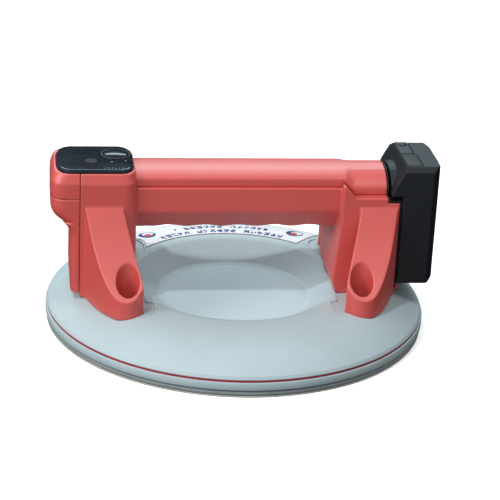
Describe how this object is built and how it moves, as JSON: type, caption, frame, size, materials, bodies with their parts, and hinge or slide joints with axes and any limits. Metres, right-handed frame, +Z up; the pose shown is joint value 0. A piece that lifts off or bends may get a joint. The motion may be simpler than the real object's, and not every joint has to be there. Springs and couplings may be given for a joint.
{
  "type": "vacuum suction cup",
  "caption": "Battery vacuum suction cup: round sealing base with a dished top, bridge handle holding a small pump and display, and a slide-on battery.",
  "frame": {"origin": "centre of the seal's contact face, on the surface that the cup stands on", "axes": "+X along the handle towards the battery, +Y to the back, where the label is, +Z up from the seal"},
  "size_m": [0.2322, 0.23, 0.1042],
  "materials": {
    "housing_red": "fine-textured coral red moulding",
    "accent_red": "smooth darker red moulding",
    "base_grey": "pale blue-grey moulding with a fine grain",
    "seal_rubber": "matt grey rubber",
    "foam": "beige closed-cell foam",
    "black_plastic": "matt black moulding",
    "display_gloss": "polished black lens",
    "label_print": "white printed film",
    "steel": "zinc-plated steel",
    "motor_metal": "nickel-plated can, hollow in reality",
    "brass": "turned brass",
    "black_rubber": "black rubber",
    "circuit_board": "green solder mask",
    "cell_wrap": "plastic-wrapped cell, density near aluminium",
    "olive_plastic": "dark olive moulding",
    "clear_hose": "milky silicone tube"
  },
  "bodies": {
    "cup": {"handle_frame": "housing_red", "grip_cover": "housing_red", "head_cap": "housing_red", "end_cover": "housing_red", "accent_ring": "accent_red", "base_cover": "base_grey", "base_plate": "base_grey", "seal_ring": "seal_rubber", "foam_ring": "foam", "port_filter": "foam", "lcd_module": "black_plastic", "power_switch": "black_plastic", "pressure_sensor": "black_plastic", "button_ring": "black_plastic", "release_valve_body": "black_plastic", "vacuum_port": "black_plastic", "pump_head": "black_plastic", "pump_cradle": "black_plastic", "terminal_block": "black_plastic", "rail_plate": "black_plastic", "display_lens": "display_gloss", "info_label": "label_print", "leg_screw_1": "steel", "leg_screw_2": "steel", "leg_screw_3": "steel", "leg_screw_4": "steel", "cover_screw_1": "steel", "cover_screw_2": "steel", "release_spring": "steel", "pump_motor": "motor_metal", "leg_insert_1": "brass", "leg_insert_2": "brass", "leg_insert_3": "brass", "leg_insert_4": "brass", "terminal_plus": "brass", "terminal_minus": "brass", "friction_disc": "black_rubber", "display_gasket": "black_rubber", "port_o_ring": "black_rubber", "pump_diaphragm": "black_rubber", "wire_loom": "black_rubber", "control_board": "circuit_board", "check_valve": "olive_plastic", "vacuum_hose": "clear_hose"},
    "battery": {"battery_case": "black_plastic", "battery_inner_cover": "black_plastic", "cell_1": "cell_wrap", "cell_2": "cell_wrap", "cell_link": "steel", "battery_board": "circuit_board", "gauge_panel": "black_plastic", "latch_spring": "steel"},
    "latch": {"battery_latch": "black_plastic"},
    "gauge": {"gauge_button": "black_plastic"},
    "power": {"power_button": "display_gloss"},
    "release": {"release_button": "olive_plastic"},
    "rotor": {"pump_rotor": "steel"}
  },
  "joints": [
    {"name": "battery_slide", "type": "slide", "parent": "cup", "child": "battery", "axis": [0, 0, 1], "range_m": [0, 0.09]},
    {"name": "latch_press", "type": "slide", "parent": "battery", "child": "latch", "axis": [0, 0, -1], "range_m": [0, 0.0015], "stiffness_N_per_m": 400, "springref_m": -0.001, "deforming": ["latch_spring"]},
    {"name": "gauge_press", "type": "slide", "parent": "battery", "child": "gauge", "axis": [0, 0, -1], "range_m": [0, 0.0008], "stiffness_N_per_m": 300, "springref_m": -0.001},
    {"name": "power_press", "type": "slide", "parent": "cup", "child": "power", "axis": [0, 0, -1], "range_m": [0, 0.0012], "stiffness_N_per_m": 400, "springref_m": -0.001},
    {"name": "release_press", "type": "slide", "parent": "cup", "child": "release", "axis": [1, 0, 0], "range_m": [0, 0.003], "stiffness_N_per_m": 500, "springref_m": -0.002, "deforming": ["release_spring"]},
    {"name": "rotor_spin", "type": "hinge", "parent": "cup", "child": "rotor", "pos_m": [-0.078, 0, 0.0535], "axis": [0, 0, 1], "continuous": true}
  ]
}
